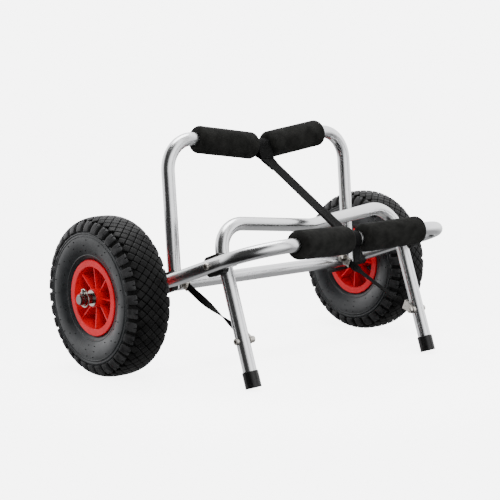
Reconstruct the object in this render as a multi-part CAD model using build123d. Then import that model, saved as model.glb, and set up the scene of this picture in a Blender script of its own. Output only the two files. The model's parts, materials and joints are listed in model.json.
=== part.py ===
from build123d import *
import os
from math import cos, radians, sin, tan

# A folding two-wheel boat cart.  Millimetres, +Z up, +X along the axle, -Y the front.
# The origin is on the ground under the middle of the cart.

# ---- wheels and axle line
TYRE_RADIUS = 130.0
TYRE_WIDTH = 80.0
WHEEL_X = 291.7
AXLE_RADIUS = 8.5
AXLE_INNER_X = 197.0
AXLE_END_X = 348.0
AXLE_Y = 86.83
AXLE_Z = TYRE_RADIUS

# ---- tubes
TUBE_RADIUS = 11.0
TUBE_WALL = 1.6
ARM_X = 222.0
LEG_X = 197.5
VERTEX_BEND = 60.0

# ---- front frame, a U that rises forward from the axle
ARM_ANGLE = 18.0
ARM_START = 13.0
FRONT_VERTEX = 279.0
FRONT_VEE = 7.0
FRONT_BEND = 72.0
CROSS_TUBE_AT = 25.0

# ---- rear frame, an upright loop hinged on the arms
REAR_PIVOT_AT = 58.0
REAR_LEAN = 3.6
REAR_VERTEX = 210.0
REAR_VEE = 7.7
REAR_BEND = 50.0
REAR_LEG_BELOW = 9.0

# ---- stand, a loop with two feet hinged on the arms
STAND_PIVOT_AT = 193.0
STAND_LEAN = 19.0
STAND_VERTEX = 45.0
STAND_VEE = 6.0
STAND_BEND = 48.0
STRAP_BOLT_BELOW = 122.0

# ---- foam sleeves
FOAM_RADIUS = 23.0
FOAM_INNER_X = 15.0
FOAM_LENGTH = 124.0
FOAM_ROUNDING = 6.0

# ---- saddles, blocks and caps
SADDLE_LENGTH = 44.0
SADDLE_HEIGHT = 32.0
SADDLE_ROUNDING = 9.0
SLIDE_GAP = 0.3
BLOCK_LENGTH = 28.0
BLOCK_SIZE = 30.0
SPIGOT_LENGTH = 34.0
SLEEVE_RADIUS = 12.5
FOOT_RADIUS = 12.8
FOOT_LENGTH = 26.0
FOOT_FLOOR = 4.0

# ---- fasteners
BOLT_RADIUS = 3.0
RUNNING_GAP = 0.05
HEAD_RADIUS = 5.2
HEAD_HEIGHT = 4.2
HEAD_ROUNDING = 1.4
SOCKET_ACROSS_FLATS = 5.0
SOCKET_DEPTH = 3.0
NUT_ACROSS_FLATS = 10.0
NUT_CHAMFER = 0.8
NUT_HEIGHT = 6.0
NUT_OUTER_SLACK = 1.5
WASHER_RADIUS = 6.2

# ---- strap clips and webbing
CLIP_LEAF = 1.2
CLIP_GAP = 2.0
CLIP_EYE_RADIUS = 6.5
CLIP_MOUTH = 16.0
CLIP_LENGTH = 20.0
CLIP_FOLD_MARGIN = 2.0
STRAP_CLEAR_OF_FOLD = 2.0
LOWER_STRAP_WIDTH = 14.0
LOWER_STRAP_THICK = 1.6
MAIN_STRAP_WIDTH = 25.0
MAIN_STRAP_THICK = 3.0
MAIN_STRAP_INNER = 13.2

# ---- axle washers and linch pins
AXLE_WASHER_RADIUS = 12.8
AXLE_WASHER_THICK = 1.6
LINCH_X = 337.0
LINCH_RADIUS = 2.0
LINCH_BELOW = 10.4
LINCH_HEAD_RADIUS = 4.4
HEAD_BELOW_EYE = 3.6
HEAD_ABOVE_EYE = 4.4
LINCH_HEAD_ROUNDING = 1.8
RING_WIRE = 1.2
RING_RADIUS = 12.6
RING_HOLE = 2.4

# ---- wheel parts
RIM_FLANGE_RADIUS = 61.5
RIM_BARREL_RADIUS = 52.0
RIM_WALL = 3.0
RIM_HALF_WIDTH = 30.8
FLANGE_THICK = 4.0
WEB_THICK = 4.0
HUB_RADIUS = 15.0
HUB_HALF_WIDTH = 30.3
BUSH_RADIUS = 11.8
BUSH_LENGTH = 12.0
RIB_COUNT = 8
RIB_THICK = 2.4
RIB_AT_HUB = 23.0
RIB_AT_BARREL = 26.0
VALVE_RADIUS = 3.5
VALVE_OFFSET = -13.0
VALVE_ANGLE = 112.5


# ---- frames of reference: local x is the cart's X, local y runs along each frame
def along(angle_from_vertical, distance):
    """Y and Z of a step along a line tilted from vertical towards +Y."""
    tilt = radians(angle_from_vertical)
    return distance * sin(tilt), distance * cos(tilt)


def tilted_plane(origin_y, origin_z, angle_from_vertical):
    step_y, step_z = along(angle_from_vertical, 1)
    return Plane(origin=(0, origin_y, origin_z), x_dir=(1, 0, 0), z_dir=(0, -step_z, step_y))


def on_arm(distance):
    step_y, step_z = along(ARM_ANGLE - 90, distance)
    return AXLE_Y + step_y, AXLE_Z + step_z


ARM_PLANE = tilted_plane(AXLE_Y, AXLE_Z, ARM_ANGLE - 90)
REAR_PIVOT = on_arm(REAR_PIVOT_AT)
REAR_PLANE = tilted_plane(*REAR_PIVOT, REAR_LEAN)
STAND_PIVOT = on_arm(STAND_PIVOT_AT)
STAND_PLANE = tilted_plane(*STAND_PIVOT, STAND_LEAN)
STRAP_BOLT = tuple(
    pivot - step for pivot, step in zip(STAND_PIVOT, along(STAND_LEAN, STRAP_BOLT_BELOW)))
FOOT_AXIS_Z = FOOT_RADIUS * sin(radians(STAND_LEAN))
STAND_LEG_BELOW = (STAND_PIVOT[1] - FOOT_AXIS_Z) / cos(radians(STAND_LEAN))


# ---- general helpers
def rod(radius, start, end):
    """A round bar from one point to another."""
    start, end = Vector(*start), Vector(*end)
    line = end - start
    base = Plane(origin=start, z_dir=line)
    return extrude(base * Circle(radius), line.length)


def x_rod(radius, x_from, x_to, y, z):
    return rod(radius, (x_from, y, z), (x_to, y, z))


def hexagon_corner(across_flats):
    return across_flats / 2 / cos(radians(30))


def x_hexagon(across_flats, x_from, x_to, y, z):
    base = Plane(origin=(x_from, y, z), x_dir=(0, 1, 0), z_dir=(x_to - x_from, 0, 0))
    return extrude(base * RegularPolygon(hexagon_corner(across_flats), 6), abs(x_to - x_from))


def circle_at(shape, point):
    """The circular edge whose middle is nearest to a point."""
    circles = shape.edges().filter_by(GeomType.CIRCLE)
    return circles.sort_by_distance(point)[0]


def socket_head(x_from, y, z):
    """A round bolt head with a soft outer edge and a hexagon socket."""
    x_to = x_from + HEAD_HEIGHT
    head = x_rod(HEAD_RADIUS, x_from, x_to, y, z)
    head = fillet(circle_at(head, (x_to, y, z)), HEAD_ROUNDING)
    return head - x_hexagon(SOCKET_ACROSS_FLATS, x_to - SOCKET_DEPTH, x_to + 1, y, z)


def ring_of(profile_points, x_middle):
    """A ring turned about the axle from an (along, radius) outline."""
    points = [(x_middle + along_x, AXLE_Y, AXLE_Z + radius) for along_x, radius in profile_points]
    return revolve(make_face(Polyline(*points, close=True)), axle_line(), 360)


def axle_line():
    return Axis((0, AXLE_Y, AXLE_Z), (1, 0, 0))


def mirrored(shape):
    return mirror(shape, about=Plane.YZ)


def save(name, *solids):
    shape = solids[0] if len(solids) == 1 else Compound(children=list(solids))
    export_step(shape, f"parts/{name}.step")


def save_pair(pattern, right_shape):
    """One node for each side of the cart."""
    save(pattern.format("right"), right_shape)
    save(pattern.format("left"), mirrored(right_shape))


def save_group(name, right_shape):
    """Both sides of the cart in one node."""
    save(name, right_shape, mirrored(right_shape))


def bent_tube(plane, corners, radii):
    """A round tube along straight runs joined by tangent bends in one plane."""
    points = [plane.from_local_coords(Vector(x, y, 0)) for x, y in corners]
    path = FilletPolyline(*points, radius=radii)
    start = Plane(origin=path @ 0, z_dir=path % 0)
    outside = sweep(start * Circle(TUBE_RADIUS), path=path)
    inside = sweep(start * Circle(TUBE_RADIUS - TUBE_WALL), path=path)
    return outside - inside


def loop_corners(half_width, foot, vertex, vee):
    """Corners of a loop whose cross bar dips to a vertex in the middle."""
    corner = vertex + half_width * tan(radians(vee))
    return [
        (-half_width, foot),
        (-half_width, corner),
        (0, vertex),
        (half_width, corner),
        (half_width, foot),
    ]


def foam_sleeve(plane, vertex, vee):
    """A foam sleeve on the right half of a cross bar."""
    slope = tan(radians(vee))
    start = plane.from_local_coords(Vector(FOAM_INNER_X, vertex + FOAM_INNER_X * slope, 0))
    bar = plane.from_local_coords(Vector(1, slope, 0)) - plane.from_local_coords(Vector(0, 0, 0))
    end = start + bar.normalized() * FOAM_LENGTH
    body = rod(FOAM_RADIUS, start, end)
    body = fillet(body.edges().filter_by(GeomType.CIRCLE), FOAM_ROUNDING)
    return body - rod(TUBE_RADIUS, start, end)


# ---- front frame
def front_tube():
    corners = loop_corners(ARM_X, ARM_START, FRONT_VERTEX, FRONT_VEE)
    tube = bent_tube(ARM_PLANE, corners, [FRONT_BEND, VERTEX_BEND, FRONT_BEND])
    for pivot in (REAR_PIVOT, STAND_PIVOT):
        tube -= x_rod(BOLT_RADIUS, -ARM_X - 20, ARM_X + 20, *pivot)
    return tube


def arm_core():
    """The space that the right arm's tube fills."""
    return rod(TUBE_RADIUS, (ARM_X, *on_arm(0)), (ARM_X, *on_arm(STAND_PIVOT_AT + 40)))


def cross_tube():
    y, z = on_arm(CROSS_TUBE_AT)
    tube = x_rod(TUBE_RADIUS, -ARM_X, ARM_X, y, z)
    tube -= x_rod(TUBE_RADIUS - TUBE_WALL, -ARM_X, ARM_X, y, z)
    return tube - arm_core() - mirrored(arm_core())


def axle_block():
    """The moulded block on the rear end of the right arm, with a spigot inside the tube."""
    back = ARM_START - BLOCK_LENGTH
    centre = ARM_PLANE.from_local_coords(Vector(ARM_X, back + BLOCK_LENGTH / 2, 0))
    base = Plane(origin=centre, x_dir=(1, 0, 0), z_dir=ARM_PLANE.z_dir)
    block = base * Box(BLOCK_SIZE, BLOCK_LENGTH, BLOCK_SIZE)
    block = fillet(block.edges(), 4)
    spigot = rod(TUBE_RADIUS - TUBE_WALL, (ARM_X, *on_arm(0)), (ARM_X, *on_arm(SPIGOT_LENGTH)))
    return block + spigot - x_rod(AXLE_RADIUS, ARM_X - 30, ARM_X + 30, AXLE_Y, AXLE_Z)


def axle_sleeve():
    """The plain black spacer between the right block and the wheel."""
    start = ARM_X + BLOCK_SIZE / 2
    end = WHEEL_X - HUB_HALF_WIDTH - SLIDE_GAP
    sleeve = x_rod(SLEEVE_RADIUS, start, end, AXLE_Y, AXLE_Z)
    sleeve = chamfer(sleeve.edges().filter_by(GeomType.CIRCLE), 1)
    return sleeve - x_rod(AXLE_RADIUS, start, end, AXLE_Y, AXLE_Z)


def stub_axle():
    axle = x_rod(AXLE_RADIUS, AXLE_INNER_X, AXLE_END_X, AXLE_Y, AXLE_Z)
    axle = chamfer(axle.edges().filter_by(GeomType.CIRCLE), 1.5)
    return axle - rod(LINCH_RADIUS, (LINCH_X, AXLE_Y, AXLE_Z - 20), (LINCH_X, AXLE_Y, AXLE_Z + 20))


def axle_washer():
    start = WHEEL_X + HUB_HALF_WIDTH + SLIDE_GAP
    washer = x_rod(AXLE_WASHER_RADIUS, start, start + AXLE_WASHER_THICK, AXLE_Y, AXLE_Z)
    return washer - x_rod(AXLE_RADIUS, start, start + AXLE_WASHER_THICK, AXLE_Y, AXLE_Z)


def linch_pin():
    """The pin through the axle, with an eye in its head for the ring."""
    eye_z = AXLE_Z + RING_RADIUS
    head_top = eye_z + HEAD_ABOVE_EYE
    shank = rod(LINCH_RADIUS, (LINCH_X, AXLE_Y, AXLE_Z - LINCH_BELOW), (LINCH_X, AXLE_Y, eye_z))
    head = rod(LINCH_HEAD_RADIUS, (LINCH_X, AXLE_Y, eye_z - HEAD_BELOW_EYE),
               (LINCH_X, AXLE_Y, head_top))
    head = fillet(circle_at(head, (LINCH_X, AXLE_Y, head_top)), LINCH_HEAD_ROUNDING)
    eye = rod(RING_HOLE, (LINCH_X, AXLE_Y - BLOCK_SIZE, eye_z), (LINCH_X, AXLE_Y + BLOCK_SIZE, eye_z))
    return shank + head - eye


def linch_ring():
    wire = Plane(origin=(LINCH_X, AXLE_Y, AXLE_Z + RING_RADIUS), z_dir=(0, 1, 0)) * Circle(RING_WIRE)
    return revolve(wire, axle_line(), 360)


# ---- saddles and pivot bolts
def saddle(pivot_at):
    """The block between the right arm and a leg, grooved for the arm and flat for the leg."""
    inner = LEG_X + TUBE_RADIUS + SLIDE_GAP
    outer = ARM_X - 2
    centre = ARM_PLANE.from_local_coords(Vector(0, pivot_at, 0))
    outline = Plane(origin=(inner, centre.Y, centre.Z), x_dir=(0, *along(ARM_ANGLE - 90, 1)),
                    z_dir=(1, 0, 0))
    block = extrude(outline * RectangleRounded(SADDLE_LENGTH, SADDLE_HEIGHT, SADDLE_ROUNDING),
                    outer - inner)
    bolt_hole = x_rod(BOLT_RADIUS, inner - 5, outer + 5, centre.Y, centre.Z)
    return block - arm_core() - bolt_hole


def pivot_bolt(pivot):
    head_start = ARM_X + TUBE_RADIUS
    end = nut_start() - NUT_HEIGHT - NUT_OUTER_SLACK
    return x_rod(BOLT_RADIUS, end, head_start, *pivot) + socket_head(head_start, *pivot)


def nut_start():
    return clip_outer_x() - 2 * CLIP_LEAF - CLIP_GAP


def clip_outer_x():
    return LEG_X - TUBE_RADIUS - SLIDE_GAP


def pivot_nut(pivot):
    """A hexagon nut with its corners turned off on the outer side."""
    start = nut_start()
    end = start - NUT_HEIGHT
    blank = x_rod(hexagon_corner(NUT_ACROSS_FLATS), start, end, *pivot)
    blank = chamfer(circle_at(blank, (end, *pivot)), NUT_CHAMFER)
    nut = blank & x_hexagon(NUT_ACROSS_FLATS, start, end, *pivot)
    return nut - x_rod(BOLT_RADIUS, start, end, *pivot)


def pivot_washer(pivot):
    """The thick washer that fills a clip's place behind a nut."""
    washer = x_rod(WASHER_RADIUS, nut_start(), clip_outer_x(), *pivot)
    return washer - x_rod(BOLT_RADIUS, nut_start(), clip_outer_x(), *pivot)


def strap_clip(bolt, other_bolt):
    """A folded metal clip: an eye round the bolt and two leaves that hold the webbing."""
    start = Vector(clip_outer_x(), *bolt)
    line = (Vector(clip_outer_x(), *other_bolt) - start).normalized()
    outline = Plane(origin=start, x_dir=line, z_dir=(-1, 0, 0))
    mouth = [(0, -CLIP_EYE_RADIUS), (CLIP_LENGTH, -CLIP_MOUTH / 2),
             (CLIP_LENGTH, CLIP_MOUTH / 2), (0, CLIP_EYE_RADIUS)]
    plate = Circle(CLIP_EYE_RADIUS) + make_face(Polyline(*mouth, close=True))
    thickness = 2 * CLIP_LEAF + CLIP_GAP
    body = extrude(outline * plate, thickness)
    slot_plane = Plane(origin=start - Vector(CLIP_LEAF, 0, 0), x_dir=line, z_dir=(-1, 0, 0))
    fold = CLIP_EYE_RADIUS + CLIP_FOLD_MARGIN
    slot = Pos(CLIP_LENGTH, 0) * Rectangle(2 * (CLIP_LENGTH - fold), 2 * CLIP_MOUTH)
    body -= extrude(slot_plane * slot, CLIP_GAP)
    return body - x_rod(BOLT_RADIUS, clip_outer_x() - 10, clip_outer_x() + 10, *bolt)


def lower_strap():
    """The plain webbing band from the rear pivot's clip to the clip on the stand's leg."""
    middle_x = clip_outer_x() - CLIP_LEAF - CLIP_GAP / 2
    start = Vector(middle_x, *REAR_PIVOT)
    end = Vector(middle_x, *STRAP_BOLT)
    line = (end - start).normalized()
    inset = CLIP_EYE_RADIUS + CLIP_FOLD_MARGIN + STRAP_CLEAR_OF_FOLD
    base = Plane(origin=start + line * inset, x_dir=(1, 0, 0), z_dir=line)
    length = (end - start).length - 2 * inset
    return extrude(base * Rectangle(LOWER_STRAP_THICK, LOWER_STRAP_WIDTH), length)


# ---- rear frame
def rear_tube():
    corners = loop_corners(LEG_X, -REAR_LEG_BELOW, REAR_VERTEX, REAR_VEE)
    tube = bent_tube(REAR_PLANE, corners, [REAR_BEND, VERTEX_BEND, REAR_BEND])
    return tube - x_rod(BOLT_RADIUS + RUNNING_GAP, -LEG_X - 20, LEG_X + 20, *REAR_PIVOT)


def leg_plug():
    """The domed plug in the bottom of the right rear leg."""
    origin = REAR_PLANE.from_local_coords(Vector(LEG_X, -REAR_LEG_BELOW, 0))
    up = REAR_PLANE.from_local_coords(Vector(0, 1, 0)) - REAR_PLANE.from_local_coords(Vector(0, 0, 0))
    dome = rod(TUBE_RADIUS, origin, origin - up * 5)
    lowest = dome.edges().filter_by(GeomType.CIRCLE).sort_by_distance(origin - up * 5)[0]
    return fillet(lowest, 4.5) + rod(TUBE_RADIUS - TUBE_WALL, origin, origin + up * 4)


# ---- stand
def stand_tube():
    corners = loop_corners(LEG_X, FOOT_FLOOR - STAND_LEG_BELOW, STAND_VERTEX, STAND_VEE)
    tube = bent_tube(STAND_PLANE, corners, [STAND_BEND, VERTEX_BEND, STAND_BEND])
    tube -= x_rod(BOLT_RADIUS + RUNNING_GAP, -LEG_X - 20, LEG_X + 20, *STAND_PIVOT)
    return tube - x_rod(BOLT_RADIUS, -LEG_X - 20, LEG_X + 20, *STRAP_BOLT)


def foot_cap():
    bottom = STAND_PLANE.from_local_coords(Vector(LEG_X, -STAND_LEG_BELOW, 0))
    up = (STAND_PLANE.from_local_coords(Vector(LEG_X, 0, 0)) - bottom).normalized()
    cap = rod(FOOT_RADIUS, bottom, bottom + up * FOOT_LENGTH)
    top_rim = cap.edges().filter_by(GeomType.CIRCLE).sort_by(Axis.Z)[-1]
    cap = chamfer(top_rim, 1)
    return cap - rod(TUBE_RADIUS, bottom + up * FOOT_FLOOR, bottom + up * (FOOT_LENGTH + 5))


def strap_bolt():
    head_start = LEG_X + TUBE_RADIUS
    end = nut_start() - NUT_HEIGHT - NUT_OUTER_SLACK
    return x_rod(BOLT_RADIUS, end, head_start, *STRAP_BOLT) + socket_head(head_start, *STRAP_BOLT)


# ---- webbing between the two cradle bars
def main_strap():
    """A flat band sewn into a loop round the middle of each cross bar."""
    rear = REAR_PLANE.from_local_coords(Vector(0, REAR_VERTEX, 0))
    front = ARM_PLANE.from_local_coords(Vector(0, FRONT_VERTEX, 0))
    line = front - rear
    base = Plane(origin=rear - Vector(MAIN_STRAP_WIDTH / 2, 0, 0), x_dir=line, z_dir=(1, 0, 0))
    outer = MAIN_STRAP_INNER + MAIN_STRAP_THICK
    band = Pos(line.length / 2, 0) * Rectangle(line.length, MAIN_STRAP_THICK)
    rear_eye = Circle(outer)
    front_eye = Pos(line.length, 0) * Circle(outer)
    holes = Circle(MAIN_STRAP_INNER) + Pos(line.length, 0) * Circle(MAIN_STRAP_INNER)
    return extrude(base * (band + rear_eye + front_eye - holes), MAIN_STRAP_WIDTH)


# ---- wheel, built as the right one
def tyre():
    """A hollow tyre: tread, shoulders, bulged sidewalls and two beads."""
    half = TYRE_WIDTH / 2
    outside = [(half - 14, TYRE_RADIUS - 3), (half - 3, TYRE_RADIUS - 14), (half, TYRE_RADIUS - 30),
               (half - 3, 78), (half - 10, RIM_FLANGE_RADIUS + 1.5),
               (RIM_HALF_WIDTH - FLANGE_THICK - 0.1, RIM_FLANGE_RADIUS)]
    bead = [(RIM_HALF_WIDTH - FLANGE_THICK - 0.1, RIM_BARREL_RADIUS), (18, RIM_BARREL_RADIUS)]
    inside = [(18, 60), (28, 74), (31, 96), (25, 112), (12, 119)]
    right_side = [(0, TYRE_RADIUS)] + outside + bead + inside
    left_side = [(-x, radius) for x, radius in reversed(right_side)]
    return ring_of(right_side + [(0, 120)] + left_side[:-1], WHEEL_X)


def inner_tube():
    """The thin rubber tube, blown up inside the tyre."""
    centre_radius = 88.0
    outline = Plane(origin=(WHEEL_X, AXLE_Y, AXLE_Z + centre_radius), x_dir=(1, 0, 0), z_dir=(0, 1, 0))
    section = Ellipse(23, 27) - Ellipse(21.5, 25.5)
    return revolve(outline * section, axle_line(), 360)


def rim_half(side):
    """Half of the split rim: hub, web, barrel, flange and radial ribs on one side."""
    barrel_inside = RIM_BARREL_RADIUS - RIM_WALL
    flange_start = RIM_HALF_WIDTH - FLANGE_THICK
    outline = [(0, AXLE_RADIUS + 1), (HUB_HALF_WIDTH - BUSH_LENGTH, AXLE_RADIUS + 1),
               (HUB_HALF_WIDTH - BUSH_LENGTH, BUSH_RADIUS), (HUB_HALF_WIDTH, BUSH_RADIUS),
               (HUB_HALF_WIDTH, HUB_RADIUS), (WEB_THICK, HUB_RADIUS + 1),
               (WEB_THICK, barrel_inside - 2), (WEB_THICK + 2, barrel_inside),
               (RIM_HALF_WIDTH - 1, barrel_inside + 1), (RIM_HALF_WIDTH, barrel_inside + 2),
               (RIM_HALF_WIDTH, RIM_FLANGE_RADIUS - 1), (RIM_HALF_WIDTH - 1, RIM_FLANGE_RADIUS),
               (flange_start, RIM_FLANGE_RADIUS), (flange_start, RIM_BARREL_RADIUS),
               (0, RIM_BARREL_RADIUS)]
    half = ring_of([(side * x, radius) for x, radius in outline], WHEEL_X)
    rib_outline = [(WEB_THICK - 1, HUB_RADIUS - 1), (RIB_AT_HUB, HUB_RADIUS - 1),
                   (RIB_AT_BARREL, barrel_inside + 1), (WEB_THICK - 1, barrel_inside + 1)]
    points = [(WHEEL_X + side * x, AXLE_Y, AXLE_Z + radius) for x, radius in rib_outline]
    rib = extrude(make_face(Polyline(*points, close=True)), RIB_THICK / 2, both=True)
    for index in range(RIB_COUNT):
        half += rib.rotate(axle_line(), index * 360 / RIB_COUNT)
    return half


def valve_rod(radius, from_radius, to_radius):
    """A round piece pointing at the axle, between two ribs on the inboard side."""
    piece = rod(radius, (WHEEL_X + VALVE_OFFSET, AXLE_Y, AXLE_Z + from_radius),
                (WHEEL_X + VALVE_OFFSET, AXLE_Y, AXLE_Z + to_radius))
    return piece.rotate(axle_line(), VALVE_ANGLE)


def bush(side):
    start = WHEEL_X + side * (HUB_HALF_WIDTH - BUSH_LENGTH)
    end = WHEEL_X + side * HUB_HALF_WIDTH
    ring = x_rod(BUSH_RADIUS, start, end, AXLE_Y, AXLE_Z)
    return ring - x_rod(AXLE_RADIUS + RUNNING_GAP, start, end, AXLE_Y, AXLE_Z)


def save_wheel():
    valve_hole = valve_rod(VALVE_RADIUS, 40, 56)
    save_pair("wheel_{}_tyre", tyre())
    save_pair("wheel_{}_inner_tube", inner_tube())
    save_pair("wheel_{}_rim_outer", rim_half(1))
    save_pair("wheel_{}_rim_inner", rim_half(-1) - valve_hole)
    save("wheel_right_bushes", bush(-1), bush(1))
    save("wheel_left_bushes", mirrored(bush(-1)), mirrored(bush(1)))
    save_pair("wheel_{}_valve_stem", valve_rod(VALVE_RADIUS, 59, 38))
    save_pair("wheel_{}_valve_cap", valve_rod(VALVE_RADIUS + 1, 38, 29))


def save_front_frame():
    save("front_frame_tube", front_tube())
    save("axle_cross_tube", cross_tube())
    save_pair("front_foam_{}", foam_sleeve(ARM_PLANE, FRONT_VERTEX, FRONT_VEE))
    save_pair("axle_block_{}", axle_block())
    save_pair("axle_sleeve_{}", axle_sleeve())
    save_pair("stub_axle_{}", stub_axle())
    save_group("axle_washers", axle_washer())
    save_pair("linch_pin_{}", linch_pin())
    save_pair("linch_ring_{}", linch_ring())
    save_pair("rear_saddle_{}", saddle(REAR_PIVOT_AT))
    save_pair("stand_saddle_{}", saddle(STAND_PIVOT_AT))
    save_group("rear_pivot_bolts", pivot_bolt(REAR_PIVOT))
    save_group("rear_pivot_nuts", pivot_nut(REAR_PIVOT))
    save_group("stand_pivot_bolts", pivot_bolt(STAND_PIVOT))
    save_group("stand_pivot_nuts", pivot_nut(STAND_PIVOT))
    save_group("stand_pivot_washers", pivot_washer(STAND_PIVOT))
    save_pair("upper_strap_clip_{}", strap_clip(REAR_PIVOT, STRAP_BOLT))


def save_rear_frame():
    save("rear_frame_tube", rear_tube())
    save_pair("rear_foam_{}", foam_sleeve(REAR_PLANE, REAR_VERTEX, REAR_VEE))
    save_group("rear_leg_plugs", leg_plug())


def save_stand():
    save("stand_tube", stand_tube())
    save_pair("foot_cap_{}", foot_cap())
    save_group("strap_bolts", strap_bolt())
    save_group("strap_nuts", pivot_nut(STRAP_BOLT))
    save_pair("lower_strap_clip_{}", strap_clip(STRAP_BOLT, REAR_PIVOT))


os.makedirs("parts", exist_ok=True)
save_front_frame()
save_rear_frame()
save_stand()
save_wheel()
save("main_strap", main_strap())
save_pair("lower_strap_{}", lower_strap())
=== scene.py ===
import json
from math import cos, hypot, pi, radians, sin, tan

import bmesh
import bpy
from mathutils import Matrix, Vector, noise


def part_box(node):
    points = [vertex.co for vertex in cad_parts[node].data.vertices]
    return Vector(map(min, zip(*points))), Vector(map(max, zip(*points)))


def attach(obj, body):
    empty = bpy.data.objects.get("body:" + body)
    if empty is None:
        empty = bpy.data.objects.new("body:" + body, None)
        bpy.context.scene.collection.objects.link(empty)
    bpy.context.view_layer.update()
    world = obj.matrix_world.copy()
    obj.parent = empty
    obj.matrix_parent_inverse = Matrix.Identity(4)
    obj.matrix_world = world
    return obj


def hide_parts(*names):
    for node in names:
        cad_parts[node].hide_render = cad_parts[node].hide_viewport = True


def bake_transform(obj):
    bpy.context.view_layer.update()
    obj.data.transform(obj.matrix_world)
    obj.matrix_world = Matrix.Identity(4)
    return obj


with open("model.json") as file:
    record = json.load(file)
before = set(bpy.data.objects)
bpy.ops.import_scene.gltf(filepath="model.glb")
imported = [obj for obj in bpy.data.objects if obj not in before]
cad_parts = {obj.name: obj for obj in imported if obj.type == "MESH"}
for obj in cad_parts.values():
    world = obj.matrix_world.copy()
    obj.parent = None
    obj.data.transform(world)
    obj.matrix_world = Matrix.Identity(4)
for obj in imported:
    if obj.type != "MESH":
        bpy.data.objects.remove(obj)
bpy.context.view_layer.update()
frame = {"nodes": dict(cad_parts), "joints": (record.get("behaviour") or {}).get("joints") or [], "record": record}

# Everything is in metres, in the frame's own axes: +X along the axle, -Y the front, +Z up.
MM = 0.001
X_AXIS = Vector((1, 0, 0))
SIDES = {"left": -1, "right": 1}
JOINTS = {joint["name"]: joint for joint in frame["joints"]}
AXLE = Vector((0, *JOINTS["wheel_right_spin"]["pos_m"][1:]))
REAR_PIVOT = Vector(JOINTS["rear_fold"]["pos_m"])
STAND_PIVOT = Vector(JOINTS["stand_fold"]["pos_m"])
WHEEL_X = JOINTS["wheel_right_spin"]["pos_m"][0]

# The tube frames that carry the soft pieces: which way they run, and how far off their bars are
ARM_ANGLE = radians(18)
REAR_LEAN = radians(3.6)
STAND_LEAN = radians(19)
ARM = Vector((0, -cos(ARM_ANGLE), sin(ARM_ANGLE)))
UPRIGHT = Vector((0, sin(REAR_LEAN), cos(REAR_LEAN)))
LEG = Vector((0, -sin(STAND_LEAN), -cos(STAND_LEAN)))
FRONT_VERTEX = 279 * MM
REAR_VERTEX = 210 * MM
FRONT_VEE = radians(7)
REAR_VEE = radians(7.7)
STRAP_BOLT_BELOW = 122 * MM
TUBE_RADIUS = 11 * MM


# ---------------------------------------------------------------- node helpers
def add_noise(nodes, links, scale, detail=3, stretch=(1, 1, 1)):
    """Noise in the piece's own coordinates; scale is in features per metre."""
    coordinates = nodes.new("ShaderNodeTexCoord")
    mapping = nodes.new("ShaderNodeMapping")
    mapping.inputs["Scale"].default_value = stretch
    texture = nodes.new("ShaderNodeTexNoise")
    texture.inputs["Scale"].default_value = scale
    texture.inputs["Detail"].default_value = detail
    links.new(coordinates.outputs["Object"], mapping.inputs["Vector"])
    links.new(mapping.outputs["Vector"], texture.inputs["Vector"])
    return texture.outputs["Fac"]


def add_ramp(nodes, links, factor, low, high, start=0.35, end=0.65):
    """A colour that goes from low to high while the factor goes from start to end."""
    ramp = nodes.new("ShaderNodeValToRGB")
    ramp.color_ramp.elements[0].position = start
    ramp.color_ramp.elements[1].position = end
    ramp.color_ramp.elements[0].color = (*low, 1)
    ramp.color_ramp.elements[1].color = (*high, 1)
    links.new(factor, ramp.inputs[0])
    return ramp.outputs["Color"]


def map_range(nodes, links, value, given, wanted=(0.0, 1.0), smooth=False):
    """Carries a value from one range over to another."""
    spread = nodes.new("ShaderNodeMapRange")
    if smooth:
        spread.interpolation_type = "SMOOTHSTEP"
    for socket, end in zip(("From Min", "From Max", "To Min", "To Max"), given + wanted):
        spread.inputs[socket].default_value = end
    links.new(value, spread.inputs["Value"])
    return spread.outputs["Result"]


def calculate(nodes, links, operation, *values):
    """One operation of the Math node."""
    node = nodes.new("ShaderNodeMath")
    node.operation = operation
    for socket, value in enumerate(values):
        links.new(value, node.inputs[socket])
    return node.outputs[0]


def mix_shaders(nodes, links, share, first, second):
    """The first shader where the share is 0 and the second where it is 1."""
    mixed = nodes.new("ShaderNodeMixShader")
    for socket, source in enumerate((share, first, second)):
        links.new(source, mixed.inputs[socket])
    return mixed.outputs[0]


def is_ray(nodes, kind):
    """1 for one kind of ray and 0 for the others."""
    return nodes.new("ShaderNodeLightPath").outputs[f"Is {kind} Ray"]


# ---------------------------------------------------------------- camera
CAMERA_AZIMUTH, CAMERA_ELEVATION, CAMERA_ROLL = radians(40.42), radians(7.44), radians(-1.0)
CAMERA_DISTANCE = 2.368
CAMERA_LENS = 97.44
CAMERA_SENSOR = 36
AIM_RIGHT, AIM_ABOVE = 7.98 * MM, 45.42 * MM


def make_camera():
    """The product view: low, from the front left, with a long lens."""
    level = cos(CAMERA_ELEVATION)
    forward = Vector((sin(CAMERA_AZIMUTH) * level, cos(CAMERA_AZIMUTH) * level,
                      -sin(CAMERA_ELEVATION)))
    level_right = forward.cross(Vector((0, 0, 1))).normalized()
    level_up = level_right.cross(forward)
    right = level_right * cos(CAMERA_ROLL) + level_up * sin(CAMERA_ROLL)
    up = level_up * cos(CAMERA_ROLL) - level_right * sin(CAMERA_ROLL)
    rotation = Matrix((right, up, -forward)).transposed()
    target = AXLE + level_right * AIM_RIGHT + level_up * AIM_ABOVE
    data = bpy.data.cameras.new("camera")
    data.sensor_width = CAMERA_SENSOR
    data.lens = CAMERA_LENS
    data.clip_end = 50
    camera = bpy.data.objects.new("camera", data)
    place = Matrix.Translation(target - forward * CAMERA_DISTANCE)
    camera.matrix_world = place @ rotation.to_4x4()
    bpy.context.scene.collection.objects.link(camera)
    bpy.context.scene.camera = camera


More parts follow.
